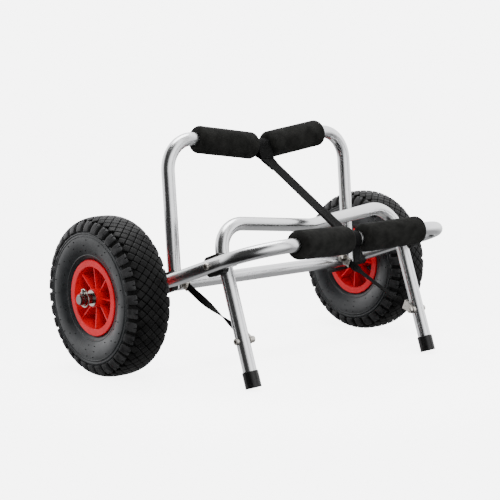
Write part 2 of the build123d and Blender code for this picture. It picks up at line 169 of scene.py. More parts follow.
# ---------------------------------------------------------------- light and floor
# Each light: its name, place, size, power and whether it shows in reflections
LIGHTS = (("key", (-1.3, -2.2, 2.0), (1.0, 1.0), 62, False),
          ("fill", (2.0, -1.6, 1.0), (1.2, 1.2), 26, False),
          ("top", (0.1, 0.4, 2.4), (1.6, 1.2), 40, True),
          ("side", (-2.4, 0.6, 1.2), (1.0, 1.4), 30, False))
LIGHT_TARGET = Vector((0, 0, 0.2))
# Each card: the azimuth it stands at, and the sines of where it is full and where it ends
DARK_CARDS = ((-80, 0.50, 0.92), (34, 0.0, 0.16))
CARD_DARK = (0.035, 0.035, 0.035)
CARD_FOOT = (0.0, 0.3)
ROOM_LIGHT = (2.1, 2.1, 2.13)
SOFT_LIGHT = 0.5
# The ground in reflections: the heights between which it fades in, and its share of the light
GROUND_EDGE = (-0.50, 0.12)
GROUND_SHARE = 0.2
BACKDROP_GLOW = 6.5
FLOOR_GLOW = 5.3
FLOOR_REACH = 1.5
FLOOR_FADE = (0.38, 0.62)


def area_light(name, place, size, power, mirrored):
    """A soft rectangular light aimed at the cart."""
    data = bpy.data.lights.new(name, "AREA")
    data.shape = "RECTANGLE"
    data.size, data.size_y = size
    data.energy = power
    light = bpy.data.objects.new(name, data)
    light.location = place
    light.rotation_euler = (LIGHT_TARGET - Vector(place)).to_track_quat("-Z", "Y").to_euler()
    light.visible_glossy = mirrored
    bpy.context.scene.collection.objects.link(light)


def dark_card(nodes, links, azimuth, full, ends):
    """How far a direction lies inside an upright card: 1 in its middle, 0 outside it."""
    coordinates = nodes.new("ShaderNodeTexCoord")
    turn = radians(azimuth)

    def facing(axis):
        product = nodes.new("ShaderNodeVectorMath")
        product.operation = "DOT_PRODUCT"
        product.inputs[1].default_value = axis
        links.new(coordinates.outputs["Generated"], product.inputs[0])
        return product.outputs["Value"]

    offset = calculate(nodes, links, "ABSOLUTE", facing((cos(turn), sin(turn), 0)))
    across = map_range(nodes, links, offset, (ends, full), smooth=True)
    towards = map_range(nodes, links, facing((sin(turn), -cos(turn), 0)), CARD_FOOT, smooth=True)
    return calculate(nodes, links, "MULTIPLY", across, towards)


def make_world():
    """A white room.  The bare metal reflects its dark upright cards and its dimmer ground."""
    world = bpy.data.worlds.new("studio")
    bpy.context.scene.world = world
    world.use_nodes = True
    nodes, links = world.node_tree.nodes, world.node_tree.links
    nodes.remove(nodes["Background"])

    def background(strength):
        shader = nodes.new("ShaderNodeBackground")
        shader.inputs["Color"].default_value = (1, 1, 1, 1)
        shader.inputs["Strength"].default_value = strength
        return shader

    cards = [dark_card(nodes, links, *card) for card in DARK_CARDS]
    covered = calculate(nodes, links, "MAXIMUM", *cards)
    coordinates = nodes.new("ShaderNodeTexCoord")
    axes = nodes.new("ShaderNodeSeparateXYZ")
    links.new(coordinates.outputs["Generated"], axes.inputs[0])
    share = map_range(nodes, links, axes.outputs["Z"], GROUND_EDGE, (GROUND_SHARE, 1.0),
                      smooth=True)
    room = background(1.0)
    shade = add_ramp(nodes, links, covered, ROOM_LIGHT, CARD_DARK, 0.0, 1.0)
    links.new(shade, room.inputs["Color"])
    links.new(share, room.inputs["Strength"])
    unseen = mix_shaders(nodes, links, is_ray(nodes, "Glossy"),
                         background(SOFT_LIGHT).outputs[0], room.outputs[0])
    seen = mix_shaders(nodes, links, is_ray(nodes, "Camera"),
                       unseen, background(BACKDROP_GLOW).outputs[0])
    links.new(seen, nodes["World Output"].inputs["Surface"])


def make_floor():
    """A pale floor that glows a little and fades out into the bright backdrop."""
    mesh = bpy.data.meshes.new("floor")
    corners = [(x * FLOOR_REACH, y * FLOOR_REACH, 0)
               for x, y in ((-1, -1), (1, -1), (1, 1), (-1, 1))]
    mesh.from_pydata(corners, [], [(0, 1, 2, 3)])
    floor = bpy.data.objects.new("floor", mesh)
    bpy.context.scene.collection.objects.link(floor)
    paint, nodes, links, shader = new_material(
        "floor_paint", (0.9, 0.9, 0.9), 0.8, Specular_IOR_Level=0.1)
    tint(nodes, links, shader, add_noise(nodes, links, 3, 2),
         (0.895, 0.895, 0.895), (0.905, 0.905, 0.905))
    glow = nodes.new("ShaderNodeEmission")
    glow.inputs["Strength"].default_value = FLOOR_GLOW
    glowing = nodes.new("ShaderNodeAddShader")
    links.new(shader.outputs[0], glowing.inputs[0])
    links.new(glow.outputs[0], glowing.inputs[1])
    seen = mix_shaders(nodes, links, is_ray(nodes, "Camera"), shader.outputs[0], glowing.outputs[0])
    coordinates = nodes.new("ShaderNodeTexCoord")
    away = nodes.new("ShaderNodeVectorMath")
    away.operation = "LENGTH"
    links.new(coordinates.outputs["Object"], away.inputs[0])
    faded = mix_shaders(nodes, links,
                        map_range(nodes, links, away.outputs["Value"], FLOOR_FADE, smooth=True),
                        seen, nodes.new("ShaderNodeBsdfTransparent").outputs[0])
    links.new(faded, nodes["Material Output"].inputs["Surface"])
    mesh.materials.append(paint)
    floor.visible_glossy = False


# ---------------------------------------------------------------- material helpers
def new_material(name, colour, roughness, **sockets):
    """A Principled material.  Every plain value sits on the shader's own socket."""
    material = bpy.data.materials.new(name)
    material.use_nodes = True
    nodes, links = material.node_tree.nodes, material.node_tree.links
    shader = nodes["Principled BSDF"]
    shader.inputs["Base Color"].default_value = (*colour, 1)
    shader.inputs["Roughness"].default_value = roughness
    for socket, value in sockets.items():
        shader.inputs[socket.replace("_", " ")].default_value = value
    return material, nodes, links, shader


def tint(nodes, links, shader, factor, low, high):
    """Varies the base colour."""
    links.new(add_ramp(nodes, links, factor, low, high), shader.inputs["Base Color"])


def vary_roughness(nodes, links, shader, factor, low, high):
    """Varies the roughness."""
    rough = map_range(nodes, links, factor, (0.3, 0.7), (low, high))
    links.new(rough, shader.inputs["Roughness"])


def add_bump(nodes, links, shader, height, strength, depth, previous=None):
    """Fine relief on top of what the mesh has; previous is the bump below it."""
    bump = nodes.new("ShaderNodeBump")
    bump.inputs["Strength"].default_value = strength
    bump.inputs["Distance"].default_value = depth
    links.new(height, bump.inputs["Height"])
    if previous:
        links.new(previous, bump.inputs["Normal"])
    links.new(bump.outputs["Normal"], shader.inputs["Normal"])
    return bump.outputs["Normal"]


# ---------------------------------------------------------------- materials
def aluminium():
    """Anodised tube: bright, satin, with faint drawing marks and handling smudges."""
    material, nodes, links, shader = new_material(
        "satin_aluminium", (0.86, 0.865, 0.87), 0.26, Metallic=1.0)
    tint(nodes, links, shader, add_noise(nodes, links, 18, 3),
         (0.84, 0.845, 0.85), (0.89, 0.895, 0.90))
    vary_roughness(nodes, links, shader, add_noise(nodes, links, 25, 3), 0.24, 0.28)
    add_bump(nodes, links, shader, add_noise(nodes, links, 1600, 2), 0.02, 0.05 * MM)
    return material


def zinc():
    """Zinc-plated fasteners: a warm grey metal with a mottled plating."""
    material, nodes, links, shader = new_material(
        "zinc_plate", (0.60, 0.57, 0.52), 0.28, Metallic=1.0)
    mottle = add_noise(nodes, links, 260, 4)
    tint(nodes, links, shader, mottle, (0.50, 0.47, 0.42), (0.70, 0.67, 0.62))
    vary_roughness(nodes, links, shader, mottle, 0.20, 0.38)
    add_bump(nodes, links, shader, add_noise(nodes, links, 1500, 2), 0.08, 0.1 * MM)
    return material


def axle_metal():
    """The stub axles: turned steel with fine rings round the bar."""
    material, nodes, links, shader = new_material(
        "turned_steel", (0.24, 0.235, 0.23), 0.30, Metallic=1.0)
    rings = add_noise(nodes, links, 700, 2, stretch=(1, 0.05, 0.05))
    tint(nodes, links, shader, add_noise(nodes, links, 60, 3),
         (0.20, 0.195, 0.19), (0.29, 0.285, 0.28))
    vary_roughness(nodes, links, shader, rings, 0.24, 0.38)
    add_bump(nodes, links, shader, rings, 0.10, 0.1 * MM)
    return material


def red_plastic():
    """The moulded rims: a saturated red gloss with slight flow marks."""
    material, nodes, links, shader = new_material(
        "red_gloss_plastic", (0.60, 0.002, 0.010), 0.36, Specular_IOR_Level=0.32)
    tint(nodes, links, shader, add_noise(nodes, links, 22, 3),
         (0.55, 0.0015, 0.008), (0.65, 0.0025, 0.012))
    vary_roughness(nodes, links, shader, add_noise(nodes, links, 70, 4), 0.28, 0.40)
    add_bump(nodes, links, shader, add_noise(nodes, links, 420, 2), 0.10, 0.15 * MM)
    return material


def black_plastic():
    """Moulded saddles, blocks and sleeves: fine-grained matte black."""
    material, nodes, links, shader = new_material(
        "black_plastic", (0.008, 0.008, 0.008), 0.42, Specular_IOR_Level=0.3)
    tint(nodes, links, shader, add_noise(nodes, links, 80, 3),
         (0.006, 0.006, 0.006), (0.011, 0.011, 0.011))
    add_bump(nodes, links, shader, add_noise(nodes, links, 1400, 2), 0.25, 0.15 * MM)
    return material


def foot_rubber():
    """Rubber feet: smooth and shiny black, a little scuffed."""
    material, nodes, links, shader = new_material(
        "foot_rubber", (0.004, 0.004, 0.004), 0.24, Specular_IOR_Level=0.3)
    scuff = add_noise(nodes, links, 120, 5)
    tint(nodes, links, shader, scuff, (0.004, 0.004, 0.004), (0.008, 0.008, 0.008))
    vary_roughness(nodes, links, shader, scuff, 0.18, 0.34)
    add_bump(nodes, links, shader, add_noise(nodes, links, 600, 2), 0.06, 0.15 * MM)
    return material


def foam():
    """Closed-cell foam: dull charcoal with a skin of tiny cells and soft handling marks."""
    material, nodes, links, shader = new_material(
        "black_foam", (0.009, 0.009, 0.0085), 0.9, Specular_IOR_Level=0.12)
    tint(nodes, links, shader, add_noise(nodes, links, 60, 6),
         (0.0055, 0.0055, 0.005), (0.0135, 0.0135, 0.0125))
    vary_roughness(nodes, links, shader, add_noise(nodes, links, 160, 3), 0.82, 0.95)
    cells = nodes.new("ShaderNodeTexVoronoi")
    cells.inputs["Scale"].default_value = 700
    coordinates = nodes.new("ShaderNodeTexCoord")
    links.new(coordinates.outputs["Object"], cells.inputs["Vector"])
    pores = add_bump(nodes, links, shader, cells.outputs["Distance"], 0.3, 0.4 * MM)
    add_bump(nodes, links, shader, add_noise(nodes, links, 130, 4), 0.25, 0.8 * MM, pores)
    return material


def tread_rubber():
    """The tread: dull black, greyer where the mould release stays on the blocks."""
    material, nodes, links, shader = new_material(
        "tread_rubber", (0.005, 0.005, 0.005), 0.42, Specular_IOR_Level=0.12)
    dust = add_noise(nodes, links, 55, 5)
    tint(nodes, links, shader, dust, (0.002, 0.002, 0.002), (0.008, 0.008, 0.008))
    vary_roughness(nodes, links, shader, dust, 0.35, 0.6)
    add_bump(nodes, links, shader, add_noise(nodes, links, 700, 3), 0.25, 0.25 * MM)
    return material


def sidewall_rubber():
    """The sidewall: smoother than the tread, its greyer, cooler colour partly a painted sheen and partly a faint
    random bloom.
    """
    material, nodes, links, shader = new_material(
        "sidewall_rubber", (0.012, 0.013, 0.014), 0.30, Specular_IOR_Level=0.5)
    bloom_and_sheen = add_noise(nodes, links, 30, 5)
    # The grey-blue tint is painted sheen; the noise varies it at random like a bloom
    tint(nodes, links, shader, bloom_and_sheen, (0.008, 0.009, 0.010), (0.018, 0.0195, 0.021))
    vary_roughness(nodes, links, shader, add_noise(nodes, links, 90, 4), 0.26, 0.40)
    add_bump(nodes, links, shader, add_noise(nodes, links, 420, 3), 0.20, 0.25 * MM)
    return material


def groove_rubber_painted_shade():
    """Down in the grooves: a darker, rougher rubber, a painted shade for the recesses where no sheen reaches."""
    material, nodes, links, shader = new_material(
        "groove_rubber_painted_shade", (0.004, 0.004, 0.004), 0.7, Specular_IOR_Level=0.15)
    tint(nodes, links, shader, add_noise(nodes, links, 90, 3),
         (0.003, 0.003, 0.003), (0.006, 0.006, 0.006))
    return material


def lug_rubber():
    """The shoulder lugs, rubbed a little greyer than the middle of the tread."""
    material, nodes, links, shader = new_material(
        "lug_rubber", (0.015, 0.015, 0.0155), 0.5, Specular_IOR_Level=0.3)
    wear = add_noise(nodes, links, 80, 5)
    tint(nodes, links, shader, wear, (0.009, 0.009, 0.0095), (0.024, 0.024, 0.025))
    vary_roughness(nodes, links, shader, wear, 0.42, 0.6)
    add_bump(nodes, links, shader, add_noise(nodes, links, 600, 3), 0.25, 0.25 * MM)
    return material


def hidden_rubber():
    """The inner tubes, inside the tyres."""
    material, nodes, links, shader = new_material("tube_rubber", (0.012, 0.012, 0.012), 0.55)
    tint(nodes, links, shader, add_noise(nodes, links, 60, 3),
         (0.009, 0.009, 0.009), (0.016, 0.016, 0.016))
    return material


def plug_plastic():
    """Nylon bushes."""
    material, nodes, links, shader = new_material("bush_plastic", (0.020, 0.020, 0.020), 0.5)
    tint(nodes, links, shader, add_noise(nodes, links, 120, 3),
         (0.015, 0.015, 0.015), (0.026, 0.026, 0.026))
    add_bump(nodes, links, shader, add_noise(nodes, links, 1200, 2), 0.15, 0.1 * MM)
    return material


def webbing():
    """Black webbing: ribs along the band crossed by a fine weft, from the band's own layout."""
    material, nodes, links, shader = new_material(
        "black_webbing", (0.004, 0.004, 0.004), 0.75, Specular_IOR_Level=0.1)
    coordinates = nodes.new("ShaderNodeTexCoord")
    waves = []
    for direction, scale in (("X", 200), ("Y", 380)):
        wave = nodes.new("ShaderNodeTexWave")
        wave.bands_direction = direction
        wave.inputs["Scale"].default_value = scale
        wave.inputs["Distortion"].default_value = 0.6
        wave.inputs["Detail"].default_value = 1
        links.new(coordinates.outputs["UV"], wave.inputs["Vector"])
        waves.append(wave.outputs["Fac"])
    weave = calculate(nodes, links, "MULTIPLY", *waves)
    tint(nodes, links, shader, weave, (0.0022, 0.0022, 0.0022), (0.0065, 0.0065, 0.0065))
    add_bump(nodes, links, shader, weave, 0.6, 0.3 * MM)
    return material


def thread():
    """Black sewing thread, a shade greyer than the webbing."""
    material, nodes, links, shader = new_material(
        "black_thread", (0.014, 0.014, 0.014), 0.6, Specular_IOR_Level=0.3)
    tint(nodes, links, shader, add_noise(nodes, links, 900, 2),
         (0.010, 0.010, 0.010), (0.018, 0.018, 0.018))
    add_bump(nodes, links, shader, add_noise(nodes, links, 3000, 2), 0.3, 0.1 * MM)
    return material


# ---------------------------------------------------------------- mesh helpers
def finish_mesh(name, work, materials, smooth_under=None):
    """Turns a bmesh into an object, smooth except over edges sharper than an angle."""
    bmesh.ops.recalc_face_normals(work, faces=work.faces)
    for face in work.faces:
        face.smooth = True
    if smooth_under is not None:
        for edge in work.edges:
            if len(edge.link_faces) == 2 and edge.calc_face_angle() > smooth_under:
                edge.smooth = False
    mesh = bpy.data.meshes.new(name)
    work.to_mesh(mesh)
    work.free()
    for material in materials:
        mesh.materials.append(material)
    piece = bpy.data.objects.new(name, mesh)
    bpy.context.scene.collection.objects.link(piece)
    return piece


def grid_faces(work, rows, close_rows=False, close_columns=False, material=0):
    """Quads between rows of vertices."""
    count = len(rows)
    width = len(rows[0])
    faces = []
    for i in range(count if close_rows else count - 1):
        for j in range(width if close_columns else width - 1):
            near, far = rows[i], rows[(i + 1) % count]
            k = (j + 1) % width
            face = work.faces.new((near[j], near[k], far[k], far[j]))
            face.material_index = material
            faces.append(face)
    return faces


def smooth_line(points, steps):
    """Catmull-Rom points through a short list of 2-D points."""
    line = []
    ends = [points[0]] + list(points) + [points[-1]]
    for i in range(1, len(ends) - 2):
        a, b, c, d = (Vector(p) for p in ends[i - 1:i + 3])
        for step in range(steps):
            t = step / steps
            line.append(0.5 * (2 * b + (c - a) * t + (2 * a - 5 * b + 4 * c - d) * t * t
                               + (3 * b - a - 3 * c + d) * t ** 3))
    line.append(Vector(points[-1]))
    return line


# ---------------------------------------------------------------- tyre
# All tyre sizes are in mm.  The profile gives half-width and radius from the crown to the bead,
# and the blocks stand on top of it.
TYRE_PROFILE = [(0, 126.2), (12, 125.8), (22, 123.8), (29.5, 119.8), (34.4, 113.6), (37.0, 106.0),
                (38.8, 97.0), (38.6, 88.0), (36.4, 78.5), (32.6, 70.5), (30.2, 65.5), (27.4, 62.4),
                (26.3, 60.2), (26.2, 56.0), (24.4, 52.8), (19.0, 52.2)]
BLOCK_HEIGHT = 3.7
BLOCK_BEVEL, LUG_BEVEL = 0.8, 0.9
# Diamonds: how many in a row, rows each side of the middle one, their step and half a diamond
DIAMOND_COUNT = 51
DIAMOND_ROWS = 3
ROW_STEP = 8.0
DIAMOND_SIZE = (7.3, 7.3)
# Lugs: how many, the distances across where they start and end, and half a lug's share of a step
LUG_COUNT = 34
LUG_START, LUG_END = 29.0, 45.5
LUG_HALF_TURN = 0.34
# Each ring: its radius, half-width and rise.  Each row of vent nubs: its radius, count and size
RIDGES = ((104.6, 1.5, 1.3), (99.8, 1.0, 0.9), (69.0, 1.2, 0.7))
NUB_RINGS = ((94.5, 19, 0.9), (86.0, 13, 0.8), (77.0, 17, 0.8))
CARCASS_TURNS = 204
PROFILE_STEPS = 10
ACROSS_STEPS = 42
RINGS_START = 109
SIDEWALL_START = 108
NUB_SIDES = 8
TYRE_CREASE = radians(38)
# Where the tyre's materials stand in its list
# The groove slot holds a painted shade: darker rubber for the groove bottoms and the vent nubs
TREAD, SIDEWALL, SHADED_GROOVE, LUG = range(4)


class TyreSurface:
    """Places points on the tyre from an angle, a distance across from the crown and a height."""

    def __init__(self, centre_x):
        self.centre_x = centre_x
        self.line = smooth_line(TYRE_PROFILE, PROFILE_STEPS)
        self.lengths = [0.0]
        for a, b in zip(self.line, self.line[1:]):
            self.lengths.append(self.lengths[-1] + (b - a).length)

    def profile(self, across):
        """The point and outward normal, as (half-width, radius), at a distance across."""
        distance = min(abs(across), self.lengths[-1])
        index = 0
        while index < len(self.lengths) - 2 and self.lengths[index + 1] < distance:
            index += 1
        a, b = self.line[index], self.line[index + 1]
        share = (distance - self.lengths[index]) / (self.lengths[index + 1] - self.lengths[index])
        point = a.lerp(b, share)
        before = self.line[max(index - 3, 0)]
        after = self.line[min(index + 4, len(self.line) - 1)]
        step = (after - before).normalized()
        normal = Vector((-step.y, step.x))
        side = 1 if across >= 0 else -1
        return Vector((point.x * side, point.y)), Vector((normal.x * side, normal.y))

    def distance_at(self, radius):
        """How far across the sidewall reaches a radius."""
        index = next(i for i, point in enumerate(self.line) if point.y < radius)
        return self.lengths[index]

    def place(self, angle, across, height=0.0):
        """The point in the frame, at an angle from the top, a distance across and a height."""
        point, normal = self.profile(across)
        point = point + normal * height
        return Vector((self.centre_x + point.x * MM,
                       AXLE.y + sin(angle) * point.y * MM,
                       AXLE.z + cos(angle) * point.y * MM))


def ridge_height(radius):
    """Raised rings moulded round the sidewall."""
    height = 0.0
    for ring, half_width, rise in RIDGES:
        share = max(0, 1 - abs(radius - ring) / half_width)
        height += rise * min(1, share * 2)
    return height


def across_stations(surface):
    """Distances across the tyre, close together where the rings are."""
    total = surface.lengths[-1]
    spread = {round(total * i / ACROSS_STEPS, 3) for i in range(ACROSS_STEPS + 1)}
    for ring, half_width, _ in RIDGES:
        middle = surface.distance_at(ring)
        spread |= {round(middle + half_width * i / 3, 3) for i in range(-4, 5)}
    half = sorted(d for d in spread if 0 < d <= total)
    return [-d for d in reversed(half)] + [0.0] + half


def add_carcass(work, surface):
    """The smooth body of the tyre, bead to bead, with its moulded rings."""
    stations = across_stations(surface)
    start_of_rings = surface.distance_at(RINGS_START)
    rows = []
    for segment in range(CARCASS_TURNS):
        angle = 2 * pi * segment / CARCASS_TURNS
        row = []
        for across in stations:
            point, _ = surface.profile(across)
            height = ridge_height(point.y) if abs(across) > start_of_rings else 0.0
            row.append(work.verts.new(surface.place(angle, across, height)))
        rows.append(row)
    for face in grid_faces(work, rows, close_rows=True):
        middle = face.calc_center_median()
        radius = hypot(middle.y - AXLE.y, middle.z - AXLE.z) / MM
        # Above the sidewall the carcass takes the darker groove rubber: painted shade between the blocks
        face.material_index = SIDEWALL if radius < SIDEWALL_START else SHADED_GROOVE


def add_block(work, surface, outline, angle, height, bevel, material):
    """A tread block: an (angle, across) outline, a soft edge and a top that follows the tyre."""
    middle_u = sum(u for u, _ in outline) / len(outline)
    middle_v = sum(v for _, v in outline) / len(outline)
    reach = max(abs(v - middle_v) for _, v in outline)
    rings = []
    for inset, lift in ((-0.45, -0.5), (0.1, height - bevel), (bevel * 0.35, height - bevel * 0.3),
                        (bevel, height), (reach * 0.5, height)):
        scale = 1 - inset / reach
        rings.append([
            work.verts.new(surface.place(angle + middle_u + (u - middle_u) * scale,
                                         middle_v + (v - middle_v) * scale, lift))
            for u, v in outline])
    grid_faces(work, rings, close_columns=True, material=material)
    work.faces.new(rings[-1]).material_index = material


def diamond_outline(middle):
    """A diamond with cut corners round a distance across, as (angle, across) points."""
    half_turn = DIAMOND_SIZE[0] / TYRE_PROFILE[0][1]
    half_width = DIAMOND_SIZE[1]
    corners = [(-half_turn, 0), (0, -half_width), (half_turn, 0), (0, half_width)]
    outline = []
    for a, b in zip(corners, corners[1:] + corners[:1]):
        for share in (0.08, 0.5, 0.92):
            outline.append((a[0] + (b[0] - a[0]) * share, middle + a[1] + (b[1] - a[1]) * share))
    return outline


def lug_outline(side):
    """A square shoulder lug with a short slit in its inner edge, as (angle, across) points."""
    half = LUG_HALF_TURN * 2 * pi / LUG_COUNT
    middle = (LUG_START + LUG_END) / 2
    points = [(0.10, LUG_START + 4.5), (0.14, LUG_START), (0.9, LUG_START), (1.0, LUG_START + 1),
              (1.0, middle), (0.97, LUG_END - 1), (0.9, LUG_END), (0, LUG_END)]
    right = [(u * half, v * side) for u, v in points]
    left = [(-u * half, v * side) for u, v in points[:-1]]
    return right + left[::-1]


def add_tread(work, surface):
    """Rows of diamonds over the crown, every other one half a step on, and the shoulder lugs."""
    for row in range(-DIAMOND_ROWS, DIAMOND_ROWS + 1):
        outline = diamond_outline(row * ROW_STEP)
        for turn in range(DIAMOND_COUNT):
            angle = 2 * pi * (turn + 0.5 * (row % 2)) / DIAMOND_COUNT
            add_block(work, surface, outline, angle, BLOCK_HEIGHT, BLOCK_BEVEL, TREAD)
    for side in (-1, 1):
        outline = lug_outline(side)
        for turn in range(LUG_COUNT):
            angle = 2 * pi * (turn + 0.25 * (1 + side)) / LUG_COUNT
            add_block(work, surface, outline, angle, BLOCK_HEIGHT, LUG_BEVEL, LUG)


def add_nub(work, surface, angle, radius, size, side):
    """A small vent nub standing on the sidewall."""
    across = surface.distance_at(radius)
    rings = []
    for scale, lift in ((1.0, -0.3), (0.9, 0.8), (0.5, 1.1)):
        rings.append([
            work.verts.new(surface.place(angle + size * scale * cos(turn) / radius,
                                         side * (across + size * scale * sin(turn)), lift))
            for turn in (2 * pi * i / NUB_SIDES for i in range(NUB_SIDES))])
    # The nubs take the darker groove rubber: painted shade, so they read as dark dots on the sidewall
    grid_faces(work, rings, close_columns=True, material=SHADED_GROOVE)
    work.faces.new(rings[-1]).material_index = SHADED_GROOVE


def make_tyre(side, materials):
    """A whole tyre: carcass, tread and vent nubs on both sidewalls, unevenly spaced."""
    surface = TyreSurface(SIDES[side] * WHEEL_X)
    work = bmesh.new()
    add_carcass(work, surface)
    add_tread(work, surface)
    for ring, (radius, count, size) in enumerate(NUB_RINGS):
        for turn in range(count):
            uneven = 0.25 * sin(turn * 2.3 + ring)
            for wall in (-1, 1):
                add_nub(work, surface, 2 * pi * (turn + uneven) / count, radius, size, wall)
    tyre = finish_mesh(f"{side}_tyre", work, materials, TYRE_CREASE)
    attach(tyre, f"wheel_{side}")
    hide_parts(f"wheel_{side}_tyre")


# ---------------------------------------------------------------- foam sleeves
FOAM_RADIUS = 23.0 * MM
FOAM_INNER_X = 15 * MM
FOAM_LENGTH = 124 * MM
FOAM_ROUNDING = 8 * MM
FOAM_LIP = 1.2 * MM
FOAM_CLEARANCE = 0.2 * MM
FOAM_SEGMENTS = 96
FOAM_CREASE = radians(50)
ROUNDING_STEPS = 8
STRAIGHT_STEPS = 22
# The waves in a sleeve's skin, outside this radius: how many a metre, their height and depth
SKIN_RADIUS = TUBE_RADIUS * 1.4
FOAM_WAVES = (28, 0.2 * MM, 0.1 * MM)


def bar_frame(origin, along, vertex, vee, side):
    """The start and direction of the right or left half of a dipped cross bar."""
    across = Vector((side, 0, 0))
    direction = (across + along * tan(vee)).normalized()
    start = origin + along * vertex + direction * (FOAM_INNER_X / cos(vee))
    return start, direction


def foam_outline():
    """(along, radius) points of a sleeve: rounded ends, straight sides and a bore."""
    points = []
    for step in range(ROUNDING_STEPS + 1):
        turn = pi / 2 * step / ROUNDING_STEPS
        points.append((FOAM_ROUNDING * (1 - cos(turn)),
                       FOAM_RADIUS - FOAM_ROUNDING * (1 - sin(turn))))
    middle = [(FOAM_LENGTH * (0.1 + 0.8 * step / STRAIGHT_STEPS), FOAM_RADIUS)
              for step in range(STRAIGHT_STEPS + 1)]
    other_end = [(FOAM_LENGTH - along, radius) for along, radius in reversed(points)]
    outside = points + middle + other_end
    wall = TUBE_RADIUS + FOAM_CLEARANCE
    bore = [(FOAM_LENGTH, TUBE_RADIUS + FOAM_LIP), (FOAM_LENGTH - FOAM_LIP, wall),
            (FOAM_LIP, wall), (0, TUBE_RADIUS + FOAM_LIP)]
    return outside + bore


def make_foam(name, node, body, start, direction, material):
    """One sleeve, turned round its half of the bar."""
    pitch, height, inwards = FOAM_WAVES
    side_axis = direction.cross(Vector((0, 0, 1))).normalized()
    up_axis = side_axis.cross(direction)
    work = bmesh.new()
    rows = []
    for segment in range(FOAM_SEGMENTS):
        turn = 2 * pi * segment / FOAM_SEGMENTS
        out = side_axis * cos(turn) + up_axis * sin(turn)
        row = []
        for along, radius in foam_outline():
            place = start + direction * along + out * radius
            if radius > SKIN_RADIUS:
                place += out * (noise.noise(place * pitch) * height - inwards)
            row.append(work.verts.new(place))
        rows.append(row)
    grid_faces(work, rows, close_rows=True, close_columns=True)
    sleeve = finish_mesh(name, work, [material], FOAM_CREASE)
    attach(sleeve, body)
    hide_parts(node)


def make_foams(material):
    """Two sleeves on each cradle bar."""
    bars = {"front": (AXLE, ARM, FRONT_VERTEX, FRONT_VEE),
            "rear": (REAR_PIVOT, UPRIGHT, REAR_VERTEX, REAR_VEE)}
    for side, sign in SIDES.items():
        for end, bar in bars.items():
            start, direction = bar_frame(*bar, sign)
            make_foam(f"{end}_{side}_sleeve", f"{end}_foam_{side}", f"{end}_frame",
                      start, direction, material)


# ---------------------------------------------------------------- webbing
STRAP_THICK = 1.6 * MM
STITCH_PITCH = 3.2 * MM
THREAD_RADIUS = 0.35 * MM
WEBBING_EDGE = 0.6 * MM
WEBBING_CREASE = radians(40)


def band_section(width, thickness):
    """The outline of webbing across its width: flat faces and thin rounded edges."""
    half, rise, inner = width / 2, thickness / 2, width / 2 - WEBBING_EDGE
    upper = [(-half, -rise * 0.3), (-inner, -rise), (0, -rise), (inner, -rise),
             (half, -rise * 0.3)]
    return upper + [(-u, -v) for u, v in upper]


def add_band(work, stations, uv_layer, thickness=STRAP_THICK):
    """Webbing swept along stations of (point, width direction, outward normal, width)."""
    rows, sections, lengths = [], [], [0.0]
    for index, (point, across, normal, width) in enumerate(stations):
        section = band_section(width, thickness)
        sections.append(section)
        rows.append([work.verts.new(point + across * u + normal * v) for u, v in section])
        if index:
            lengths.append(lengths[-1] + (point - stations[index - 1][0]).length)
    columns = len(sections[0])
    for i in range(len(rows) - 1):
        for j in range(columns):
            k = (j + 1) % columns
            face = work.faces.new((rows[i][j], rows[i][k], rows[i + 1][k], rows[i + 1][j]))
            for loop, (row, column) in zip(face.loops, ((i, j), (i, k), (i + 1, k), (i + 1, j))):
                loop[uv_layer].uv = (sections[row][column][0], lengths[row])
    for row, section in ((rows[0], sections[0]), (rows[-1], sections[-1])):
        face = work.faces.new(row)
        for loop, (u, v) in zip(face.loops, section):
            loop[uv_layer].uv = (u, v)


def add_stitch(work, start, end, normal):
    """One raised stitch: a short bowed thread on the face of the band."""
    line = end - start
    across = line.normalized().cross(normal)
    radius = THREAD_RADIUS
    rows = []
    for share, bulge in ((0.0, 0.1), (0.2, 0.8), (0.5, 1.0), (0.8, 0.8), (1.0, 0.1)):
        centre = start + line * share + normal * radius * 0.6 * bulge
        rows.append([work.verts.new(centre + across * radius * bulge * cos(2 * pi * i / 6)
                                    + normal * radius * bulge * sin(2 * pi * i / 6))
                     for i in range(6)])
    grid_faces(work, rows, close_columns=True, material=1)
    work.faces.new(rows[0]).material_index = 1
    work.faces.new(rows[-1]).material_index = 1


def add_stitch_line(work, start, end, normal):
    line = end - start
    count = max(1, round(line.length / STITCH_PITCH))
    for index in range(count):
        a = start + line * ((index + 0.12) / count)
        b = start + line * ((index + 0.88) / count)
        add_stitch(work, a, b, normal)


def add_box_stitch(work, middle, along, normal, length, width):
    """A sewn box with a cross in it."""
    corners = [middle + along * a * length / 2 + X_AXIS * b * width / 2
               for a, b in ((-1, -1), (1, -1), (1, 1), (-1, 1))]
    for a, b in zip(corners, corners[1:] + corners[:1]):
        add_stitch_line(work, a, b, normal)
    add_stitch_line(work, corners[0], corners[2], normal)
    add_stitch_line(work, corners[1], corners[3], normal)


STRAP_WIDTHS = {"rear_loop": 29 * MM, "run": 24 * MM, "front_loop": 22 * MM, "tail": 17 * MM}
LOOP_GAP = 1.2 * MM
LOOP_OPENING = radians(52)
# How far the run passes below the rear bar, and where the front loop sits off the middle
REAR_DROP = 7 * MM
FRONT_LOOP_X = -3 * MM
# The two plies of a loop meet here, and are then sewn to the run over these lengths
JOIN_AT = 29 * MM
REAR_OVERLAP = 30 * MM
FRONT_OVERLAP = 82 * MM
WIDTH_CHANGE = 22 * MM
PLY_STEP = STRAP_THICK * 1.1
HALF_PLY = STRAP_THICK * 0.55
# How far the stitching keeps from the ends and the edges of the webbing
STITCH_END = 4 * MM
STITCH_EDGE = 3 * MM
SEAM_EDGE = 2.5 * MM
SEAM_START = 6 * MM


